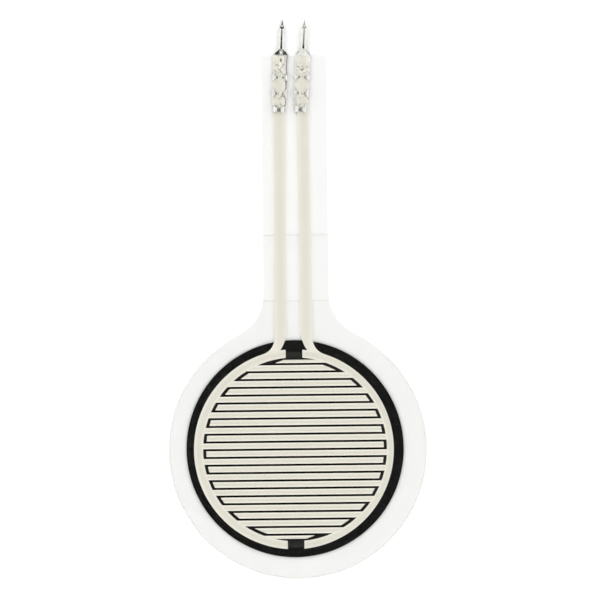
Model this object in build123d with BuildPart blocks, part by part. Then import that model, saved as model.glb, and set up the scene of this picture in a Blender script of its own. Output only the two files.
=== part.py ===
from build123d import *
from math import cos, radians, sin, sqrt, tan
import os

# Round film force sensor with a long tail and two crimped solder tabs.
# Millimetres. The origin is the centre of the round head on the adhesive face,
# +Y runs along the tail and +Z points out of the sensing face.

os.makedirs("parts", exist_ok=True)

# Outline of the films
head_radius = 14.85
tail_width = 7.5
tail_length = 30.55  # from the rim of the head to the cut end
shoulder_radius = 5.2  # fillet between the head and the tail

# Layers, from the bottom up
adhesive_thickness = 0.08
rear_film_thickness = 0.1
spacer_thickness = 0.08
front_film_thickness = 0.125
ink_thickness = 0.02
adhesive_reach = 2.35  # rim of the head to the adhesive's end on the tail
spacer_reach = 9.95  # rim of the head to the end of the spacer and the rear film
print_clearance = 0.05  # room that the spacer leaves around each print

# Carbon disc and the spacer's opening, printed and cut a little off the head's centre
rim_width = 2.35  # film beyond the carbon
carbon_reach = 1.24  # carbon beyond the spacer's opening
carbon_centre = (-0.32, 0.12)
opening_centre = (-0.44, 0)

# Silver half rings and fingers
ring_reach = 0.24  # silver beyond the spacer's opening
ring_centre = (-0.46, 0.05)
band_width = 0.92
ring_cut = 1.92  # gap between the ends of the two half rings
field_shift = 0.13  # the finger field sits this far to the right of the ring
finger_width = 0.642
finger_gap = 0.25
tip_gap = 0.36
end_finger_least = 0.3  # narrowest outermost finger
end_finger_rise = 0.08  # the outermost fingers pass the circle of the tips by this
end_tip_inset = 0.23
end_tip_angle = 21

# Silver conductors on the tail
trace_width = 1.38
trace_mid = -0.36
trace_spread_head = 1.51  # from the middle to each conductor, at the head
trace_spread_tail = 1.35  # the same, at the tabs
trace_parallel = 10.4  # the conductors run parallel over this last stretch
trace_stop = 0.1  # from their ends to the cut end of the film
bend_rise = 2.2  # height above the ring where they start to bend outward
inner_bend = 4
outer_bend = 1.9
bend_angle = 40

# Solder tabs, in a frame of their own: origin at the cut end of the film, +Y to the pin
sheet = 0.15
tab_pitch = 2.54
tab_mid = -0.17
left_lean = 2.8  # degrees, clockwise seen from above
right_lean = 3.2
strip_start = 6.8  # length of the strip that lies under the film
strip_corner = 0.2
strip_taper = 0.3  # the strip narrows over this length ahead of a narrower claw pair
left_lift = 0  # degrees that the pin is bent up from the plane of the strip
right_lift = 5
shoulder_half = 0.84
shoulder_gap = 0.08  # the shoulder starts this far outside the film
shoulder_length = 0.7
lip_start = 0.38  # from the start of the shoulder to where its edges begin to turn up
lip_rise = 0.05  # height of the edges where they begin to turn up
lip_wall = 0.13
lip_rounding = 0.04
bead_radius = 0.16  # stiffening bead pressed up in the shoulder
bead_place = 0.24  # from the start of the shoulder
pin_width = 0.62
pin_height = 0.42
pin_length = 2.3  # straight stretch, between the shoulder and the tip
pin_rounding = 0.09
seam_root = 0.24
seam_neck = 0.12
tip_length = 1.05
tip_flare = 0.42  # over this length the tip draws in from the pin to its spire
tip_neck = 0.26
tip_point = 0.05
tip_bead_radius = 0.1
tip_bead_place = 0.3  # from the end of the lips

# Claw pairs, from the film's end inward: the first value of each is the pair next to the pins
claw_reaches = (2.55, 4.4, 6.27)  # from the film's end to the middle of each pair
claw_halves = (0.87, 0.87, 0.66)  # half width of the strip at each pair
claw_lengths = (0.65, 0.85, 0.7)  # along the strip
claw_tips = (0.24, 0.24, 0.46)  # along the strip, at the tip of each claw
claw_bends = (0.15, 0.13, 0.17)  # radius of the curl at the middle of the sheet
bite_clearance = 0.02  # round a tip in its hole, and from it to the strip below
bite_room = 0.18  # the film is torn this far ahead of a tip
claw_stand = 0.03  # height above the film where a claw starts to curl
slit_clearance = 0.03

# Heights and places that follow from the sizes
rear_film_bottom = adhesive_thickness
spacer_bottom = rear_film_bottom + rear_film_thickness
front_film_bottom = spacer_bottom + spacer_thickness
front_film_top = front_film_bottom + front_film_thickness
print_bottom = front_film_bottom - ink_thickness
tab_bottom = print_bottom - sheet

film_end = head_radius + tail_length
adhesive_end = head_radius + adhesive_reach
spacer_end = head_radius + spacer_reach

carbon_radius = head_radius - rim_width
opening_radius = carbon_radius - carbon_reach
ring_radius = opening_radius + ring_reach
field_centre = (ring_centre[0] + field_shift, ring_centre[1])
inner_radius = ring_radius - band_width
mid_radius = inner_radius + band_width / 2
tip_radius = inner_radius - tip_gap
finger_pitch = finger_width + finger_gap
end_edge = tip_radius + end_finger_rise
last_gap = int((end_edge - finger_gap / 2 - end_finger_least) / finger_pitch)
finger_count = 2 * last_gap + 2

bend_start = ring_centre[1] + ring_radius + bend_rise
trace_end = film_end - trace_stop

pin_end = shoulder_length + pin_length
on_base = (Align.CENTER, Align.MIN)

tab_places = {
    "left": (tab_mid - tab_pitch / 2, left_lean),
    "right": (tab_mid + tab_pitch / 2, right_lean),
}
pin_lifts = {"left": left_lift, "right": right_lift}
claw_rows = [
    dict(reach=reach, half=half, length=length, tip=tip, bend=bend)
    for reach, half, length, tip, bend in zip(
        claw_reaches, claw_halves, claw_lengths, claw_tips, claw_bends
    )
]


def film_outline(end):
    """Head, tail and shoulder fillets of a layer whose tail is cut straight at end."""
    with BuildSketch() as outline:
        Circle(head_radius)
        with Locations((0, film_end / 2)):
            Rectangle(tail_width, film_end)
        fillet(outline.vertices().group_by(Axis.Y)[-2], shoulder_radius)
        with Locations((0, end)):
            Rectangle(
                3 * head_radius,
                film_end,
                align=(Align.CENTER, Align.MIN),
                mode=Mode.SUBTRACT,
            )
    return outline.sketch


def trace_edge(side, offset, along):
    """Point of a conductor's edge: side -1 or +1, offset outward from its middle."""
    spread = trace_spread_tail if along > bend_start else trace_spread_head
    return (trace_mid + side * (spread + offset), along)


def conductor(side, grow):
    """Outline of one conductor, from inside its half ring to its end under the tab."""
    half = trace_width / 2 + grow
    bend_centre = trace_mid + side * (trace_spread_head - trace_width / 2 + inner_bend)
    root = bend_start - (inner_bend + grow) * sin(radians(bend_angle))
    parallel = film_end - trace_parallel
    with BuildSketch() as face:
        with BuildLine():
            bend = CenterArc(
                (bend_centre, bend_start),
                inner_bend + grow,
                90 + 90 * side,
                side * bend_angle,
            )
            Polyline(
                bend @ 0,
                trace_edge(side, -half, parallel),
                trace_edge(side, -half, trace_end + grow),
                trace_edge(side, half, trace_end + grow),
                trace_edge(side, half, parallel),
                trace_edge(side, half, bend_start),
                trace_edge(side, half, root),
                bend @ 1,
            )
        make_face()
    return face.sketch


def ring_corner(side, grow):
    """Where a conductor's outer edge meets the ring, before the fillet there."""
    x = trace_edge(side, trace_width / 2 + grow, 0)[0]
    reach = (ring_radius + grow) ** 2 - (x - ring_centre[0]) ** 2
    return (x, ring_centre[1] + sqrt(reach))


def half_ring(side):
    """Half ring and conductor of one electrode, without its fingers."""
    with BuildSketch() as ring:
        with Locations(ring_centre):
            Circle(ring_radius)
        with Locations(field_centre):
            Circle(inner_radius, mode=Mode.SUBTRACT)
            Rectangle(ring_cut, 3 * ring_radius, mode=Mode.SUBTRACT)
        with Locations((field_centre[0] - side * ring_radius, field_centre[1])):
            Rectangle(2 * ring_radius, 3 * ring_radius, mode=Mode.SUBTRACT)
        add(conductor(side, 0))
        corner = ring.vertices().sort_by_distance(ring_corner(side, 0))[0]
        fillet(corner, outer_bend)
    return ring.sketch


def print_pocket():
    """Outline of the silver that the spacer covers, with room around it."""
    with BuildSketch() as pocket:
        with Locations(ring_centre):
            Circle(ring_radius + print_clearance)
        for side in (-1, 1):
            add(conductor(side, print_clearance))
            place = ring_corner(side, print_clearance)
            corner = pocket.vertices().sort_by_distance(place)[0]
            fillet(corner, outer_bend - print_clearance)
    return pocket.sketch


def fingers(side):
    """The fingers of one electrode: every second row, clipped to the circle of the tips."""
    first = 2 if side > 0 else 1
    heights = [
        (finger_count / 2 - 0.5 - row) * finger_pitch
        for row in range(first, finger_count - 1, 2)
    ]
    end_bottom = last_gap * finger_pitch + finger_gap / 2
    end_half = sqrt(tip_radius**2 - end_bottom**2) - end_tip_inset
    end_slant = (end_edge - end_bottom) / tan(radians(end_tip_angle))
    end_root = sqrt(mid_radius**2 - end_edge**2)
    with BuildSketch() as rows:
        with Locations(*[(0, height) for height in heights]):
            Rectangle(2 * ring_radius, finger_width)
        with BuildSketch(mode=Mode.INTERSECT):
            Circle(mid_radius)
            with Locations((-side * ring_radius, 0)):
                Rectangle(2 * ring_radius, 2 * ring_radius, mode=Mode.SUBTRACT)
            Circle(tip_radius)
        with BuildLine():
            Polyline(
                (-side * end_half, side * end_bottom),
                (-side * (end_half - end_slant), side * end_edge),
                (side * end_root, side * end_edge),
                (side * end_root, side * end_bottom),
                close=True,
            )
        make_face()
    return rows.sketch


def on_tab(x, lean, across, along):
    """Place in the plane of the films of a point given in a tab's own frame."""
    turn = radians(lean)
    return Location(
        (
            x + across * cos(turn) + along * sin(turn),
            film_end - across * sin(turn) + along * cos(turn),
        ),
        -lean,
    )


def tip_across(row):
    """Distance of a claw's tip from the middle of the tab."""
    return row["half"] - sheet / 2 - 2 * row["bend"]


def claw_holes(x, lean):
    """Cuts the slits and tip holes of one tab's claws in the sketch that is open."""
    for row in claw_rows:
        slit_across = row["half"] - sheet / 2
        bite_across = tip_across(row) + (bite_clearance - bite_room) / 2
        for side in (-1, 1):
            with Locations(on_tab(x, lean, side * slit_across, -row["reach"])):
                Rectangle(
                    sheet + 2 * slit_clearance,
                    row["length"] + 2 * slit_clearance,
                    mode=Mode.SUBTRACT,
                )
            with Locations(on_tab(x, lean, side * bite_across, -row["reach"])):
                Rectangle(
                    sheet + bite_clearance + bite_room,
                    row["tip"] + 2 * bite_clearance,
                    mode=Mode.SUBTRACT,
                )


def electrode(side, name):
    """One pole of the silver print, on the underside of the front film."""
    with BuildPart() as pole:
        with BuildSketch(Plane.XY.offset(print_bottom)):
            add(half_ring(side))
            with Locations(field_centre):
                add(fingers(side))
            claw_holes(*tab_places[name])
        extrude(amount=ink_thickness)
    return pole.part


def claw_pair(row):
    """Two claws that rise through the film, curl over and bite back through it."""
    curl = front_film_top + claw_stand - tab_bottom
    shoulder = row["half"] - sheet
    tip_edge = tip_across(row) + sheet / 2
    with BuildPart() as pair:
        with BuildSketch(Plane.XZ.offset(-row["length"] / 2)):
            for side in (-1, 1):
                across = side * (row["half"] - sheet / 2)
                tip = side * tip_across(row)
                with BuildLine():
                    Line((across, 0), (across, curl))
                    CenterArc(
                        (across - side * row["bend"], curl),
                        row["bend"],
                        90 - 90 * side,
                        side * 180,
                    )
                    Line((tip, curl), (tip, sheet + bite_clearance))
                trace(line_width=sheet)
        extrude(amount=row["length"])
        with BuildSketch():
            with BuildLine():
                Polyline(
                    (0, row["tip"] / 2),
                    (tip_edge, row["tip"] / 2),
                    (shoulder, row["length"] / 2),
                    (row["half"], row["length"] / 2),
                    (row["half"], -row["length"] / 2),
                    (shoulder, -row["length"] / 2),
                    (tip_edge, -row["tip"] / 2),
                    (0, -row["tip"] / 2),
                    close=True,
                )
            make_face()
            mirror(about=Plane.YZ)
        extrude(amount=curl + row["half"], mode=Mode.INTERSECT)
    return pair.part


def on_pin(distance, lift):
    """Plane of the sheet of a pin bent up by lift, at a distance from its shoulder's start."""
    run, rise = cos(radians(lift)), sin(radians(lift))
    return Plane(
        origin=(0, shoulder_gap + distance * run, distance * rise),
        x_dir=(1, 0, 0),
        z_dir=(0, -rise, run),
    )


def across_pin(distance, lift):
    """Plane square to the same pin, at a distance from its shoulder's start."""
    return on_pin(distance, lift).rotated((90, 0, 0))


def rolled_section(width, height, opening, rounding):
    """Sheet turned up along both edges, with the seam open between the two lips."""
    with BuildSketch() as section:
        Rectangle(width, height, align=on_base)
        with Locations((0, sheet)):
            Rectangle(opening, height, align=on_base, mode=Mode.SUBTRACT)
        rows = section.vertices().group_by(Axis.Y)
        fillet(rows[-1] + rows[0], rounding)
    return section.sketch


def spread(*corners):
    """Flat blank of the sheet: corners of its right half, mirrored to the left."""
    with BuildSketch() as blank:
        with BuildLine():
            Polyline((0, corners[0][1]), *corners, (0, corners[-1][1]), close=True)
        make_face()
        mirror(about=Plane.YZ)
    return blank.sketch


def solder_tab(lift):
    """One tab: strip under the tail, claws, shoulder and rolled pin, stamped from one sheet."""
    wide, middle, narrow = claw_halves
    second, third = [row["length"] / 2 - row["reach"] for row in claw_rows[1:]]
    drawn_in = (shoulder_half - pin_width / 2) * lip_start / shoulder_length
    lip_foot = rolled_section(
        2 * (shoulder_half - drawn_in),
        sheet + lip_rise,
        2 * (shoulder_half - drawn_in - lip_wall),
        lip_rounding,
    )
    root = rolled_section(pin_width, pin_height, seam_root, pin_rounding)
    neck = rolled_section(pin_width, pin_height, seam_neck, pin_rounding)
    with BuildPart() as tab:
        with BuildSketch() as strip:
            add(
                spread(
                    (shoulder_half, shoulder_gap),
                    (wide, 0),
                    (wide, second + strip_taper),
                    (middle, second),
                    (middle, third + strip_taper),
                    (narrow, third),
                    (narrow, -strip_start),
                )
            )
            fillet(strip.vertices().group_by(Axis.Y)[0], strip_corner)
        extrude(amount=sheet)
        for row in claw_rows:
            with Locations((0, -row["reach"], 0)):
                add(claw_pair(row))
        # flat shoulder, with a bead, whose edges turn up towards the pin
        with BuildSketch(on_pin(0, lift)):
            add(spread((shoulder_half, 0), (pin_width / 2, shoulder_length)))
        extrude(amount=sheet)
        bead_plane = on_pin(bead_place, lift)
        with Locations(bead_plane.from_local_coords((0, 0, bead_radius))):
            Sphere(bead_radius)
        with BuildSketch(across_pin(lip_start, lift)):
            add(lip_foot)
        with BuildSketch(across_pin(shoulder_length, lift)):
            add(root)
        loft()
        # pin, whose seam closes towards the tip
        with BuildSketch(across_pin(shoulder_length, lift)):
            add(root)
        with BuildSketch(across_pin(pin_end, lift)):
            add(neck)
        loft()
        # flat tip ahead of the lips, with barbs, a bead and a spire
        with BuildSketch(on_pin(pin_end, lift)):
            add(
                spread(
                    (pin_width / 2, 0),
                    (tip_neck / 2, tip_flare),
                    (tip_point / 2, tip_length),
                )
            )
        extrude(amount=sheet)
        bead_plane = on_pin(pin_end + tip_bead_place, lift)
        with Locations(bead_plane.from_local_coords((0, 0, tip_bead_radius))):
            Sphere(tip_bead_radius)
    return tab.part


# Mounting adhesive: die-cut with the head, it ends on the neck
with BuildPart() as mounting_adhesive:
    with BuildSketch():
        add(film_outline(adhesive_end))
    extrude(amount=adhesive_thickness)

# Rear film: carries the carbon, ends part of the way up the tail
with BuildPart() as rear_film:
    with BuildSketch(Plane.XY.offset(rear_film_bottom)):
        add(film_outline(spacer_end))
    extrude(amount=rear_film_thickness)

# Carbon disc: printed on the rear film
with BuildPart() as carbon_disc:
    with BuildSketch(Plane.XY.offset(spacer_bottom)):
        with Locations(carbon_centre):
            Circle(carbon_radius)
    extrude(amount=ink_thickness)

# Spacer: open over the fingers, hollowed where it covers the rim of each print
with BuildPart() as spacer:
    with BuildSketch(Plane.XY.offset(spacer_bottom)):
        add(film_outline(spacer_end))
        with Locations(opening_centre):
            Circle(opening_radius, mode=Mode.SUBTRACT)
    extrude(amount=spacer_thickness)
    with BuildSketch(Plane.XY.offset(spacer_bottom)):
        with Locations(carbon_centre):
            Circle(carbon_radius + print_clearance)
    extrude(amount=ink_thickness, mode=Mode.SUBTRACT)
    with BuildSketch(Plane.XY.offset(print_bottom)):
        add(print_pocket())
    extrude(amount=ink_thickness, mode=Mode.SUBTRACT)

# Electrodes: two interleaved combs, each with its conductor along the tail
left_electrode = electrode(-1, "left")
right_electrode = electrode(1, "right")

# Front film: full length, slit for the claws
with BuildPart() as front_film:
    with BuildSketch(Plane.XY.offset(front_film_bottom)):
        add(film_outline(film_end))
        for x, lean in tab_places.values():
            claw_holes(x, lean)
    extrude(amount=front_film_thickness)

# Solder tabs: the same stamping twice, one with its pin bent up a little
tabs = {}
for name, lift in pin_lifts.items():
    x, lean = tab_places[name]
    with BuildPart() as placed_tab:
        with Locations(Location((x, film_end, tab_bottom), (0, 0, -lean))):
            add(solder_tab(lift))
    tabs[name] = placed_tab.part

parts = {
    "mounting_adhesive": mounting_adhesive.part,
    "rear_film": rear_film.part,
    "carbon_disc": carbon_disc.part,
    "spacer": spacer.part,
    "left_electrode": left_electrode,
    "right_electrode": right_electrode,
    "front_film": front_film.part,
    "left_solder_tab": tabs["left"],
    "right_solder_tab": tabs["right"],
}

for name, part in parts.items():
    part.label = name
    export_step(part, f"parts/{name}.step")
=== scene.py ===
from math import asin, cos, pi, radians, sin, sqrt, tau

import bmesh
import bpy
from mathutils import Matrix, Vector


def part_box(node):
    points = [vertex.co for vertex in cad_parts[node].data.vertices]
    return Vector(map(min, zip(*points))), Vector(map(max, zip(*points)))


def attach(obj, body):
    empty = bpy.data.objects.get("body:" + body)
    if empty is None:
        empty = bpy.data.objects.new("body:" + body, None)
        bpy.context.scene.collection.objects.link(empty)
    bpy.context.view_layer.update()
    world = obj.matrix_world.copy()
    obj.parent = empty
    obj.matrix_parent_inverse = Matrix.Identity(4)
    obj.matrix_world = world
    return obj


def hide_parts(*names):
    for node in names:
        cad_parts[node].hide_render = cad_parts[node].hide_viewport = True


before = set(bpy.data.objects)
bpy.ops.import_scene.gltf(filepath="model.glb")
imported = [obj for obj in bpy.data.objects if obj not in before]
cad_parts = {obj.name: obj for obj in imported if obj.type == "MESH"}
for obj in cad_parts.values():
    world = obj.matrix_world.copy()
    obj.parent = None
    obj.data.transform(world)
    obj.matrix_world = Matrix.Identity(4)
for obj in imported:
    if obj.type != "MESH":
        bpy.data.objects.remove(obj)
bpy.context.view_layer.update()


# The mounting adhesive: a die-cut layer of clear acrylic pressure-sensitive adhesive on the back
# of the head. It was laid on with its liner, cut with the head's outline, and ends on the neck.
mm = 0.001
head_low, head_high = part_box("front_film")
head_radius = head_high[0]
tail_half_width = 3.75 * mm
neck_radius = 5.2 * mm  # fillet between the head and the tail
arc_step = radians(2)
seam = 0.002 * mm  # clear layers stay this far off what touches them, so that no faces coincide
cut_rounding = 0.02 * mm
rim_angle = radians(60)  # edges sharper than this are the rims that get rounded
shading_angle = radians(40)
cut_line_place = 0.07 * mm  # from a cut end to the hazy line that runs beside it
cut_line_haze = 0.05
rim_haze_start, rim_haze_full = 0.22 * mm, 0.08 * mm  # how far in from the rim of the head the layer is hazier
neck_start, neck_full = 10.5 * mm, 12 * mm  # the rim's haze fades out where the neck begins


def arc(centre, radius, start, end, step=arc_step):
    """Points along an arc, both ends included."""
    count = max(2, round(abs(end - start) / step))
    turns = [start + (end - start) * point / count for point in range(count + 1)]
    return [(centre[0] + radius * cos(turn), centre[1] + radius * sin(turn)) for turn in turns]


def head_and_tail(end):
    """Outline of a layer of the sensor whose tail is cut square at the height end."""
    reach = head_radius + neck_radius
    across = tail_half_width + neck_radius
    along = sqrt(reach**2 - across**2)
    meet = asin(along / reach)
    turn = pi if end > along else pi + asin((along - end) / neck_radius)
    right = arc((across, along), neck_radius, turn, pi + meet)
    if end > along:
        right = [(tail_half_width, end)] + right
    left = [(-x, y) for x, y in reversed(right)]
    head = arc((0, 0), head_radius, meet, meet - (pi + 2 * meet))
    return right[:-1] + head + left[1:]


def add_sheet(form, loops, bottom, top, rounding):
    """Flat sheet with an outline and holes, and its cut edges rounded over a little."""
    for loop in loops:
        corners = [form.verts.new((x, y, bottom)) for x, y in loop]
        for here, there in zip(corners, corners[1:] + corners[:1]):
            form.edges.new((here, there))
    bmesh.ops.triangle_fill(form, use_beauty=True, edges=form.edges[:], normal=(0, 0, 1))
    below = form.faces[:]
    lifted = bmesh.ops.extrude_face_region(form, geom=below, use_keep_orig=True)
    above = [item for item in lifted["geom"] if isinstance(item, bmesh.types.BMVert)]
    bmesh.ops.translate(form, verts=above, vec=(0, 0, top - bottom))
    bmesh.ops.recalc_face_normals(form, faces=form.faces[:])
    rims = [
        line for line in form.edges
        if len(line.link_faces) == 2 and abs(line.verts[0].co.z - line.verts[1].co.z) < seam / 2
        and line.calc_face_angle() > rim_angle
    ]
    bmesh.ops.bevel(form, geom=rims, offset=rounding, segments=3, profile=0.5, affect="EDGES")


def finish_piece(name, form):
    """Object made from the mesh, shaded flat where it is level and smooth round its edges."""
    mesh = bpy.data.meshes.new(name)
    form.to_mesh(mesh)
    form.free()
    mesh.set_sharp_from_angle(angle=shading_angle)
    for face in mesh.polygons:
        face.use_smooth = abs(face.normal.z) < 0.999
    piece = bpy.data.objects.new(name, mesh)
    bpy.context.scene.collection.objects.link(piece)
    return piece


def cut_sheet(name, loops, bottom, top, rounding=cut_rounding):
    """One flat layer of the sensor as a piece of its own."""
    form = bmesh.new()
    add_sheet(form, loops, bottom, top, rounding)
    return finish_piece(name, form)


def new_material(name):
    """A material, its node tree, its shader, and the place of each point of the piece."""
    material = bpy.data.materials.new(name)
    material.use_nodes = True
    tree = material.node_tree
    place = tree.nodes.new("ShaderNodeTexCoord").outputs["Object"]
    return material, tree, tree.nodes["Principled BSDF"], place


def connect(tree, value, socket):
    """Gives a socket what another socket puts out, or a plain number or colour."""
    if isinstance(value, bpy.types.NodeSocket):
        tree.links.new(value, socket)
    else:
        socket.default_value = value


def work_out(tree, operation, *values):
    """One step of arithmetic in a material, on sockets or plain numbers."""
    step = tree.nodes.new("ShaderNodeMath")
    step.operation = operation
    for socket, value in zip(step.inputs, values):
        connect(tree, value, socket)
    return step.outputs["Value"]


def parts_of(tree, vector):
    """The x, y and z parts of a vector."""
    split = tree.nodes.new("ShaderNodeSeparateXYZ")
    tree.links.new(vector, split.inputs["Vector"])
    return split.outputs["X"], split.outputs["Y"], split.outputs["Z"]


def off(tree, value, middle):
    """How far a value is from a middle."""
    return work_out(tree, "ABSOLUTE", work_out(tree, "SUBTRACT", value, middle))


def from_nought(tree, x, y):
    """How far a point is from nought."""
    squares = [work_out(tree, "POWER", part, 2) for part in (x, y)]
    return work_out(tree, "SQRT", work_out(tree, "ADD", *squares))


def fade(tree, value, start, end):
    """0 up to the start and 1 from the end on, with a smooth step between them."""
    step = tree.nodes.new("ShaderNodeMapRange")
    step.interpolation_type = "SMOOTHSTEP"
    step.inputs["From Min"].default_value = min(start, end)
    step.inputs["From Max"].default_value = max(start, end)
    step.inputs["To Min"].default_value = 0 if start < end else 1
    step.inputs["To Max"].default_value = 1 if start < end else 0
    tree.links.new(value, step.inputs["Value"])
    return step.outputs["Result"]


def between(tree, low, high, share, kind="FLOAT"):
    """Goes from one value or colour to the other as the share goes from 0 to 1."""
    step = tree.nodes.new("ShaderNodeMix")
    step.data_type = kind
    connect(tree, share, step.inputs["Factor"])
    connect(tree, low, step.inputs["A"])
    connect(tree, high, step.inputs["B"])
    return step.outputs["Result"]


def noise(tree, place, scale, detail):
    """Cloudy pattern from 0 to 1 that stays where it is on the piece."""
    cloud = tree.nodes.new("ShaderNodeTexNoise")
    cloud.inputs["Scale"].default_value = scale
    cloud.inputs["Detail"].default_value = detail
    tree.links.new(place, cloud.inputs["Vector"])
    return cloud.outputs["Fac"]


def shades(tree, share, *stops):
    """Colour that runs through the stops: each is a share and the colour that it has there."""
    ramp = tree.nodes.new("ShaderNodeValToRGB")
    elements = ramp.color_ramp.elements
    for stop in stops[1:-1]:
        elements.new(stop[0])
    for element, (position, colour) in zip(elements, stops):
        element.position = position
        element.color = (*colour, 1)
    tree.links.new(share, ramp.inputs["Fac"])
    return ramp.outputs["Color"]


def clear_layer(name, tint, alpha, roughness, cloud, cut_end, rim=0):
    """A clear layer that hazes what lies behind it a little, more so along its cut edges."""
    material, tree, shader, place = new_material(name)
    shader.inputs["Roughness"].default_value = roughness
    shader.inputs["IOR"].default_value = 1.47
    haze = noise(tree, place, scale=900, detail=4)
    lighter = [min(1, part * 1.04) for part in tint]
    tone = shades(tree, haze, (0.35, tint), (0.7, lighter))
    tree.links.new(tone, shader.inputs["Base Color"])
    density = between(tree, alpha * (1 - cloud), alpha * (1 + cloud), haze)
    across, along = parts_of(tree, place)[:2]
    by_cut = fade(tree, off(tree, along, cut_end - cut_line_place), 0.09 * mm, 0.03 * mm)
    line = work_out(tree, "MULTIPLY", by_cut, cut_line_haze)
    radius = from_nought(tree, across, along)
    # Hazier in a thin band just inside the rim of the head, fading out at the neck.
    by_rim = fade(tree, radius, head_radius - rim_haze_start, head_radius - rim_haze_full)
    rim_hazy = work_out(tree, "MULTIPLY", by_rim, fade(tree, along, neck_full, neck_start))
    edges = work_out(tree, "MULTIPLY_ADD", rim_hazy, rim, line)
    tree.links.new(work_out(tree, "ADD", density, edges), shader.inputs["Alpha"])
    return material


adhesive_low, adhesive_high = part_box("mounting_adhesive")
adhesive = cut_sheet(
    "adhesive_layer",
    [head_and_tail(adhesive_high[1])],
    adhesive_low[2] + seam,
    adhesive_high[2] - seam,
)
adhesive.data.materials.append(clear_layer(
    "clear adhesive", tint=(0.8, 0.8, 0.75), alpha=0.02, roughness=0.35, cloud=0.3,
    cut_end=adhesive_high[1], rim=0.12,
))
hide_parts("mounting_adhesive")
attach(adhesive, "root")


# The rear film: a clear polyester sheet that carries the carbon disc, bonded to the mounting
# adhesive. It is cut square partway up the tail, together with the spacer.
rear_low, rear_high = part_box("rear_film")
rear_film = cut_sheet(
    "rear_sheet",
    [head_and_tail(rear_high[1])],
    rear_low[2] + seam,
    rear_high[2] - seam,
)
rear_film.data.materials.append(clear_layer(
    "rear polyester", tint=(0.6, 0.6, 0.58), alpha=0.012, roughness=0.2, cloud=0.1,
    cut_end=rear_high[1],
))
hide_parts("rear_film")
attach(rear_film, "root")


# The carbon disc: a matt black resistive ink, screen printed on the rear film and cured. Bare
# ink shows a little lighter inside the spacer's opening, where nothing wets its surface; towards
# the fingers the lighter field fades out, as painted shade from the fingers.
opening_radius = 11.26 * mm  # of the spacer, which leaves the ink inside it bare
opening_centre = (-0.44 * mm, 0)


def roughen(tree, shader, height, strength, depth):
    """Fine bumps on a surface."""
    bump = tree.nodes.new("ShaderNodeBump")
    bump.inputs["Strength"].default_value = strength
    bump.inputs["Distance"].default_value = depth
    tree.links.new(height, bump.inputs["Height"])
    tree.links.new(bump.outputs["Normal"], shader.inputs["Normal"])


def carbon_ink():
    """Dense black ink with a fine grain and a lighter field inside the spacer's opening, faded out
    towards the fingers as painted shade from them.
    """
    material, tree, shader, place = new_material("carbon ink")
    shader.inputs["Roughness"].default_value = 0.6
    shader.inputs["Specular IOR Level"].default_value = 0.02
    grain = noise(tree, place, scale=9000, detail=3)
    tone = shades(tree, grain, (0.3, (0.004, 0.004, 0.004)), (0.75, (0.011, 0.011, 0.0105)))
    across, along = parts_of(tree, place)[:2]
    radius = from_nought(tree, work_out(tree, "SUBTRACT", across, opening_centre[0]), along)
    inside = fade(tree, radius, opening_radius + 0.05 * mm, opening_radius - 0.05 * mm)
    # The lighter field fades out towards the fingers: painted shade that the fingers cast on the
    # ink.
    clear_of_finger_shade = fade(tree, radius, opening_radius - 1.2 * mm, opening_radius - 0.3 * mm)
    bare_and_unshaded = work_out(tree, "MULTIPLY", inside, clear_of_finger_shade)
    colour = between(tree, tone, (0.026, 0.026, 0.025, 1), bare_and_unshaded, "RGBA")
    tree.links.new(colour, shader.inputs["Base Color"])
    roughen(tree, shader, grain, strength=0.3, depth=0.004 * mm)
    return material


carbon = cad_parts["carbon_disc"]
carbon.data.materials.clear()
carbon.data.materials.append(carbon_ink())


# The spacer: a double-sided adhesive sheet between the two films, die-cut with a round opening
# over the fingers so that the silver and the carbon only meet when the head is pressed.
spacer_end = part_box("spacer")[1][1]
spacer = cut_sheet(
    "spacer_layer",
    [head_and_tail(spacer_end), arc(opening_centre, opening_radius, 0, tau)[:-1]],
    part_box("carbon_disc")[1][2] + seam,
    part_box("left_electrode")[0][2] - seam,
    rounding=0.01 * mm,
)
spacer.data.materials.append(clear_layer(
    "spacer adhesive", tint=(0.5, 0.5, 0.47), alpha=0.0015, roughness=0.3, cloud=0.3,
    cut_end=spacer_end,
))
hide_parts("spacer")
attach(spacer, "root")


# The two electrodes: silver ink screen printed on the underside of the front film, a half ring
# with its comb of fingers and one conductor each. Ink piles up along the edge of every line.
finger_pitch = 0.892 * mm
finger_half = 0.321 * mm
field_centre = (-0.33 * mm, 0.05 * mm)
band_inner, band_outer = 10.58 * mm, 11.5 * mm
trace_half = 0.69 * mm
trace_middle = -0.36 * mm
trace_spread = 1.43 * mm
creases = (  # how far up the tail and half how wide the ink is creased by the claws, and gets painted shade and highlights
    (43.75 * mm, 0.95 * mm),
    (40.75 * mm, 0.5 * mm),
    (39.5 * mm, 0.4 * mm),
)
flaw_and_dent_shade_marks = (  # place and half sizes: a flaw in a finger's print, and painted shade in two dents from the tabs
    (3.96 * mm, -1.724 * mm, 0.25 * mm, 0.13 * mm),
    (-1.462 * mm, 44.85 * mm, 0.12 * mm, 0.24 * mm),
    (1 * mm, 43.75 * mm, 0.11 * mm, 0.11 * mm),
)
# place and half sizes of a painted highlight beside the left tab's dent
dent_highlight_mark = (-1.559 * mm, 44.41 * mm, 0.14 * mm, 0.2 * mm)


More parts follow.
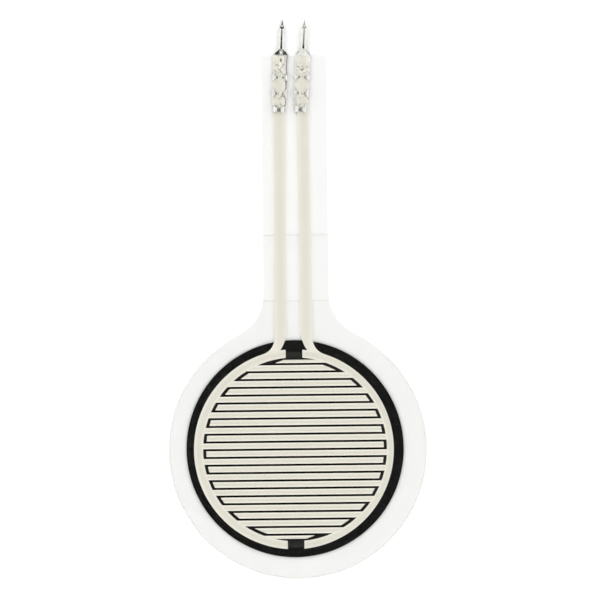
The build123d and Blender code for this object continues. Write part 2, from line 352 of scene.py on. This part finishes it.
def silver_ink():
    """Warm, matt silver flake ink as it shows through polyester, lighter along its edges, with a
    print flaw, and with painted shade and highlights where the tabs crease and dent it.
    """
    material, tree, shader, place = new_material("silver ink")
    shader.inputs["Metallic"].default_value = 0.15
    shader.inputs["Roughness"].default_value = 0.55
    across, along = parts_of(tree, place)[:2]

    def edge(distance, half_width):
        """0 along the middle of a line of ink, and 1 where it is piled up at its edges."""
        return fade(tree, distance, half_width * 0.25, half_width * 0.9)

    def mark(x, y, half_x, half_y):
        """1 on an oval spot of the ink, and 0 off it."""
        off_x = work_out(tree, "DIVIDE", work_out(tree, "SUBTRACT", across, x), half_x)
        off_y = work_out(tree, "DIVIDE", work_out(tree, "SUBTRACT", along, y), half_y)
        return fade(tree, from_nought(tree, off_x, off_y), 1.15, 0.6)

    x = work_out(tree, "SUBTRACT", across, field_centre[0])
    y = work_out(tree, "SUBTRACT", along, field_centre[1])
    row = work_out(tree, "FRACT", work_out(tree, "DIVIDE", y, finger_pitch))
    finger = edge(off(tree, row, 0.5), finger_half / finger_pitch)
    radius = from_nought(tree, x, y)
    band = edge(off(tree, radius, (band_inner + band_outer) / 2), (band_outer - band_inner) / 2)
    off_trace = off(tree, off(tree, across, trace_middle), trace_spread)
    trace = work_out(tree, "MULTIPLY_ADD", edge(off_trace, trace_half), 0.35, 0.2)
    ring = work_out(tree, "MULTIPLY", band, 0.5)
    outer = between(tree, trace, ring, work_out(tree, "LESS_THAN", radius, band_outer))
    piled = between(tree, outer, finger, work_out(tree, "LESS_THAN", radius, band_inner))
    flake = noise(tree, place, scale=14000, detail=3)
    grainy = work_out(tree, "MULTIPLY", work_out(tree, "SUBTRACT", flake, 0.5), 0.5)
    lightness = work_out(tree, "ADD", piled, grainy)
    tone = shades(tree, lightness, (0, (0.772, 0.752, 0.66)), (1, (0.955, 0.935, 0.835)))

    # Painted shade and painted highlights mottle the ink where the claws crease it.
    crumple = noise(tree, place, scale=3600, detail=3)
    creased = 0
    for height, half in creases:
        near = fade(tree, off(tree, along, height), half * 1.2, half * 0.5)
        creased = work_out(tree, "ADD", near, creased)
    shaded = work_out(tree, "MULTIPLY", creased, fade(tree, crumple, 0.5, 0.64))
    painted_shade_and_flaw = work_out(tree, "MULTIPLY", shaded, 0.5)
    # The print flaw is the ink's own; the marks in the two dents are painted shade.
    for spot in flaw_and_dent_shade_marks:
        painted_shade_and_flaw = work_out(tree, "MAXIMUM", painted_shade_and_flaw, work_out(tree, "MULTIPLY", mark(*spot), 0.85))
    glints = work_out(tree, "MULTIPLY", creased, fade(tree, crumple, 0.45, 0.3))
    # Painted highlights: on the creases and beside the left tab's dent.
    painted_highlight = work_out(tree, "MAXIMUM", glints, mark(*dent_highlight_mark))
    shaded_and_flawed = between(tree, tone, (0.06, 0.055, 0.045, 1), painted_shade_and_flaw, "RGBA")
    colour = between(tree, shaded_and_flawed, (1, 1, 0.97, 1), painted_highlight, "RGBA")
    tree.links.new(colour, shader.inputs["Base Color"])
    roughen(tree, shader, flake, strength=0.25, depth=0.003 * mm)
    return material


silver = silver_ink()
for name in ("left_electrode", "right_electrode"):
    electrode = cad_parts[name]
    electrode.data.materials.clear()
    electrode.data.materials.append(silver)
    electrode.visible_shadow = False  # the ink is too thin to darken the card beside its lines


# The front film: a clear polyester sheet the full length of the sensor, pressed down on the
# spacer. The claws of the solder tabs come up through slits in it and bite back into others.
sheet = 0.15 * mm  # thickness of the solder tabs
slit_beside, slit_beyond = 0.015 * mm, 0.02 * mm  # room for a claw at its faces and its edges
film_end = head_high[1]
tab_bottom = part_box("left_solder_tab")[0][2]
tab_places = {  # how far across the film's end each tab sits, and how far it leans
    "left": (-1.44 * mm, radians(2.8)),
    "right": (1.1 * mm, radians(3.2)),
}
claw_rows = (  # reach from the film's end, half width, length, tip, bend: the pin's end first
    (2.55 * mm, 0.87 * mm, 0.65 * mm, 0.24 * mm, 0.15 * mm),
    (4.4 * mm, 0.87 * mm, 0.85 * mm, 0.24 * mm, 0.13 * mm),
    (6.27 * mm, 0.66 * mm, 0.7 * mm, 0.46 * mm, 0.17 * mm),
)


def clear_film(name, tint, roughness):
    """Glossy clear polyester that lets soft light, and light for shadows, straight through."""
    material, tree, shader, place = new_material(name)
    shader.inputs["Transmission Weight"].default_value = 1
    shader.inputs["Roughness"].default_value = roughness
    shader.inputs["IOR"].default_value = 1.57
    cloud = noise(tree, place, scale=300, detail=3)
    darker = [part * 0.985 for part in tint]
    tree.links.new(shades(tree, cloud, (0.3, darker), (0.7, tint)), shader.inputs["Base Color"])
    ray = tree.nodes.new("ShaderNodeLightPath")
    soft = work_out(
        tree, "MAXIMUM", ray.outputs["Is Shadow Ray"], ray.outputs["Is Diffuse Ray"]
    )
    through = tree.nodes.new("ShaderNodeBsdfTransparent")
    through.inputs["Color"].default_value = (*tint, 1)
    choose = tree.nodes.new("ShaderNodeMixShader")
    tree.links.new(soft, choose.inputs["Fac"])
    tree.links.new(shader.outputs["BSDF"], choose.inputs[1])
    tree.links.new(through.outputs["BSDF"], choose.inputs[2])
    tree.links.new(choose.outputs["Shader"], tree.nodes["Material Output"].inputs["Surface"])
    return material


def tab_frame(name):
    """Where one tab's own frame lies: its middle, at the film's end and on the tab's underside."""
    across, lean = tab_places[name]
    return Matrix.Translation((across, film_end, tab_bottom)) @ Matrix.Rotation(-lean, 4, "Z")


def slits(name):
    """Outlines of the slits of one tab: each claw goes up through one and bites into another."""
    outlines = []
    for reach, half, length, tip, bend in claw_rows:
        root = half - sheet / 2
        for side in (-1, 1):
            for middle, long in ((root, length), (root - 2 * bend, tip)):
                wide = sheet / 2 + slit_beside
                high = long / 2 + slit_beyond
                corners = [
                    (side * middle + wide * x, high * y - reach)
                    for x, y in ((-1, -1), (1, -1), (1, 1), (-1, 1))
                ]
                places = [tab_frame(name) @ Vector((x, y, 0)) for x, y in corners]
                outlines.append([(place.x, place.y) for place in places])
    return outlines


front_film = cut_sheet(
    "front_sheet",
    [head_and_tail(head_high[1]), *slits("left"), *slits("right")],
    head_low[2] + seam,
    head_high[2],
)
front_film.data.materials.append(clear_film(
    "clear polyester", tint=(0.985, 0.985, 0.98), roughness=0.04
))
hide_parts("front_film")
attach(front_film, "root")


# The solder tabs: stamped and rolled from tin-plated brass strip. Claws pierce the film and the
# silver, and curl over on top to hold the tab and to make its contact.
lifts = {"left": 0, "right": radians(5)}  # how far the pins are bent up
pin_start = 0.08 * mm  # from the film's end to the start of the shoulder
strip_rounding = 0.025 * mm
strip_plan = (  # right half of the strip, across and along, from the shoulder inward
    (0.84 * mm, 0.08 * mm), (0.87 * mm, 0), (0.87 * mm, -5.62 * mm), (0.66 * mm, -5.92 * mm),
    (0.66 * mm, -6.65 * mm), (0.62 * mm, -6.74 * mm), (0.54 * mm, -6.8 * mm),
)
pin_stations = (  # in mm: distance from the start, half width, height, half the seam's opening
    (0, 0.84, 0.15, 0.74), (0.36, 0.57, 0.15, 0.47), (0.48, 0.485, 0.17, 0.39),
    (0.58, 0.41, 0.24, 0.27), (0.66, 0.35, 0.37, 0.15), (0.74, 0.315, 0.42, 0.115),
    (0.95, 0.31, 0.42, 0.105), (2.8, 0.31, 0.42, 0.055), (2.92, 0.31, 0.41, 0.06),
    (2.98, 0.31, 0.34, 0.08), (3.02, 0.31, 0.2, 0.14), (3.04, 0.31, 0.15, 0.2),
    (3.14, 0.27, 0.15, 0.18), (3.42, 0.13, 0.15, 0.08), (4.048, 0.025, 0.15, 0.012),
)
beads = ((0.24 * mm, 0.16 * mm), (3.3 * mm, 0.1 * mm))  # distance from the start, and radius
pin_rounding = 0.05 * mm  # along the bottom edges of the shoulder and the pin
lip_wall = 0.04 * mm  # least height of the straight wall below a lip's round top
lip_steps = 8
claw_stand = 0.03 * mm  # height above the film where a claw starts to curl
claw_gap = 0.02 * mm  # from a claw's tip to the strip below it
claw_steps = 16
claw_corner = (  # cuts across and along that round each corner of a claw's section
    (0.03 * mm, 0), (0.009 * mm, 0.009 * mm), (0, 0.03 * mm),
)
mirror_tin = 0.12  # roughness of the tin, from where it is brightest to where it is dullest
seam_tin = 0.18
strip_tin = 0.3
ridge_tin = 0.42
film_end_tin = 0.45
rubbed_tin = 0.52  # on the lips and the claws
margin_tin = 0.68
mottle_tin = 0.15  # how much the roughness varies from place to place


def skin(form, rings):
    """Closes a form over rings that have the same number of points, and caps both ends."""
    made = [[form.verts.new(point) for point in ring] for ring in rings]
    for low, high in zip(made, made[1:]):
        for here in range(len(low)):
            there = (here + 1) % len(low)
            form.faces.new((low[here], low[there], high[there], high[here]))
    form.faces.new(reversed(made[0]))
    form.faces.new(made[-1])


def pin_ring(distance, half, height, opening, lift):
    """Section of the rolled strip: level floor, side walls and round-topped lips."""
    lip = (half - opening) / 2
    outer = min(lip, height - lip_wall)
    inner = min(outer, height - sheet)
    corner = min(pin_rounding, half / 3)

    def lip_top(rise, steps):
        """Points over a lip, from its outside in."""
        turns = [pi / 2 * step / lip_steps for step in steps]
        return [
            (half - lip + lip * cos(turn), height - rise + rise * sin(turn)) for turn in turns
        ]

    points = [(0, 0)]
    points += arc((half - corner, corner), corner, -pi / 2, 0, radians(18))
    points += lip_top(outer, range(lip_steps + 1))
    points += lip_top(inner, range(lip_steps + 1, 2 * lip_steps + 1))
    points += [(opening, sheet), (0, sheet)]
    ring = points + [(-x, z) for x, z in reversed(points[1:-1])]
    return [
        (x, pin_start + distance * cos(lift) - z * sin(lift), distance * sin(lift) + z * cos(lift))
        for x, z in ring
    ]


def add_claw(form, side, reach, half, length, tip, bend):
    """One claw: up through the film, over in a half circle and back down through it."""
    curl = head_high[2] + claw_stand - tab_bottom
    across = half - sheet / 2
    end = across - 2 * bend
    path = [(across, 0, 0), (across, curl, 0)]
    for step in range(1, claw_steps + 1):
        turn = pi * step / claw_steps
        path.append((across - bend + bend * cos(turn), curl + bend * sin(turn), turn))
    path.append((end, sheet + claw_gap, pi))
    narrow, broad = end + sheet / 2, half - sheet  # it is broad at the strip and narrow at its tip
    rings = []
    for x, z, turn in path:
        share = min(1, max(0, (x - narrow) / (broad - narrow)))
        wide = (tip + (length - tip) * share) / 2
        ring = []
        for across_sign, along_sign in ((1, 1), (-1, 1), (-1, -1), (1, -1)):
            swap = across_sign * along_sign < 0
            for cut_out, cut_along in (claw_corner[::-1] if swap else claw_corner):
                out = across_sign * (sheet / 2 - cut_out)
                along = along_sign * (wide - cut_along)
                ring.append((side * (x + out * cos(turn)), along - reach, z + out * sin(turn)))
        rings.append(ring)
    skin(form, rings if side < 0 else [ring[::-1] for ring in rings])


def add_bead(form, distance, radius, lift):
    """Round bead pressed up out of the sheet."""
    made = bmesh.ops.create_uvsphere(form, u_segments=24, v_segments=12, radius=radius)
    along = pin_start + distance * cos(lift)
    rise = distance * sin(lift) + sheet - radius / 2
    bmesh.ops.translate(form, verts=made["verts"], vec=(0, along, rise))


def solder_tab(name, lift):
    """One tab: strip, claws, shoulder and pin, made in its own frame and then set in place."""
    form = bmesh.new()
    mirrored = [(-x, y) for x, y in reversed(strip_plan)]
    add_sheet(form, [[*strip_plan, *mirrored]], 0, sheet, strip_rounding)
    for row in claw_rows:
        for side in (-1, 1):
            add_claw(form, side, *row)
    skin(form, [pin_ring(*[size * mm for size in row], lift) for row in pin_stations])
    for distance, radius in beads:
        add_bead(form, distance, radius, lift)
    bmesh.ops.recalc_face_normals(form, faces=form.faces[:])
    bmesh.ops.transform(form, matrix=tab_frame(name), verts=form.verts[:])
    return finish_piece(name + "_tab", form)


def tin_plate(name, seam_end, shoulder, edge, edge_side):
    """Bright tin over brass, rougher on lips and claws, and the rest as each tab was rubbed.

    The roughnesses given are those of the seam's floor near the tip, of the shoulder, and of the
    band along the strip's right edge, for a side of 1, or its left edge, for a side of -1.
    """
    lift = lifts[name]
    material, tree, shader, place = new_material(name + " tin plate")
    shader.inputs["Metallic"].default_value = 1
    mottle = noise(tree, place, scale=2500, detail=4)
    tone = shades(tree, mottle, (0.3, (0.78, 0.775, 0.74)), (0.7, (0.93, 0.925, 0.89)))
    tree.links.new(tone, shader.inputs["Base Color"])
    own = tree.nodes.new("ShaderNodeMapping")
    own.vector_type = "TEXTURE"
    own.inputs["Location"].default_value = tab_frame(name).to_translation()
    own.inputs["Rotation"].default_value = (0, 0, -tab_places[name][1])
    tree.links.new(place, own.inputs["Vector"])
    across, along, up = parts_of(tree, own.outputs["Vector"])
    off_middle = work_out(tree, "ABSOLUTE", across)

    out = work_out(tree, "SUBTRACT", along, pin_start)
    height = work_out(
        tree, "SUBTRACT",
        work_out(tree, "MULTIPLY", up, cos(lift)), work_out(tree, "MULTIPLY", out, sin(lift)),
    )
    seam_floor = between(tree, seam_tin, seam_end, fade(tree, out, 0.8 * mm, 1.6 * mm))
    pin = between(tree, seam_floor, rubbed_tin, fade(tree, height, 0.19 * mm, 0.31 * mm))
    slant = work_out(tree, "MULTIPLY_ADD", along, 0.77, off_middle)
    face = between(tree, shoulder, mirror_tin, fade(tree, slant, 0.72 * mm, 0.78 * mm))
    ridge = fade(tree, off_middle, 0.32 * mm, 0.12 * mm)
    face = between(tree, face, max(shoulder, ridge_tin), ridge)
    bent = between(tree, pin, face, fade(tree, along, 0.8 * mm, 0.68 * mm))

    side = work_out(tree, "MULTIPLY", across, edge_side)
    band = work_out(
        tree, "MULTIPLY",
        fade(tree, side, 0.6 * mm, 0.66 * mm), fade(tree, side, 0.81 * mm, 0.77 * mm),
    )
    by_end = fade(tree, along, -0.6 * mm, -0.15 * mm)
    strip = between(tree, strip_tin, film_end_tin, by_end)
    strip = between(tree, strip, margin_tin, fade(tree, off_middle, 0.5 * mm, 0.58 * mm))
    strip = between(tree, strip, edge, band)
    claws = between(tree, rubbed_tin, edge, band)
    clamped = between(tree, claws, strip, fade(tree, up, 0.2 * mm, 0.16 * mm))
    worn = between(tree, bent, clamped, fade(tree, along, 0.06 * mm, -0.01 * mm))
    uneven = work_out(tree, "MULTIPLY", work_out(tree, "SUBTRACT", mottle, 0.4), mottle_tin)
    tree.links.new(work_out(tree, "ADD", worn, uneven), shader.inputs["Roughness"])
    return material


tins = {
    "left": tin_plate("left", seam_end=0.26, shoulder=0.21, edge=0.3, edge_side=1),
    "right": tin_plate("right", seam_end=0.4, shoulder=0.85, edge=0.52, edge_side=-1),
}
for name, lift in lifts.items():
    tab = solder_tab(name, lift)
    tab.data.materials.append(tins[name])
    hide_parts(name + "_solder_tab")
    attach(tab, "root")


# The setting: a plain white floor, a bright surround that is dimmer low down and dark overhead, and
# a camera that looks straight down.
floor_half = 0.6
horizon_grey = (0.52, 0.52, 0.52)
white = (1, 1, 1)
overhead_grey = (0.012, 0.012, 0.012)
surround_strength = 1.69
view_width = 69.04 * mm  # of what the picture shows, at the height of the film
view_centre = Vector((0.435 * mm, 17.224 * mm, 0))
view_turn = radians(-0.65)
lens_length = 200


def pale_floor():
    """Smooth white card."""
    material, tree, shader, place = new_material("pale floor")
    shader.inputs["Roughness"].default_value = 0.8
    shader.inputs["Specular IOR Level"].default_value = 0.2
    fibre = noise(tree, place, scale=40, detail=2)
    tone = shades(tree, fibre, (0, (0.945, 0.945, 0.945)), (1, (0.965, 0.965, 0.965)))
    tree.links.new(tone, shader.inputs["Base Color"])
    return material


floor_mesh = bpy.data.meshes.new("floor")
floor_mesh.from_pydata(
    [(-floor_half, -floor_half, 0), (floor_half, -floor_half, 0),
     (floor_half, floor_half, 0), (-floor_half, floor_half, 0)],
    [],
    [(0, 1, 2, 3)],
)
floor_mesh.materials.append(pale_floor())
floor = bpy.data.objects.new("floor", floor_mesh)
bpy.context.scene.collection.objects.link(floor)

world = bpy.data.worlds.new("surround")
bpy.context.scene.world = world
world.use_nodes = True
sky_tree = world.node_tree
sky = sky_tree.nodes["Background"]
sky.inputs["Strength"].default_value = surround_strength
direction = sky_tree.nodes.new("ShaderNodeTexCoord").outputs["Generated"]
dome = shades(
    sky_tree, parts_of(sky_tree, direction)[2],
    (0.25, horizon_grey), (0.5, white), (0.8, white), (0.93, overhead_grey),
)
sky_tree.links.new(dome, sky.inputs["Color"])

camera_data = bpy.data.cameras.new("camera")
camera_data.lens = lens_length
camera_data.sensor_width = 36
camera_data.clip_start = 0.01
camera = bpy.data.objects.new("camera", camera_data)
distance = view_width * lens_length / camera_data.sensor_width
camera.location = view_centre + Vector((0, 0, distance + head_high[2]))
camera.rotation_euler = (0, 0, view_turn)
bpy.context.scene.collection.objects.link(camera)
bpy.context.scene.camera = camera
bpy.context.scene.view_settings.view_transform = "Standard"
bpy.context.scene.cycles.transparent_max_bounces = 32
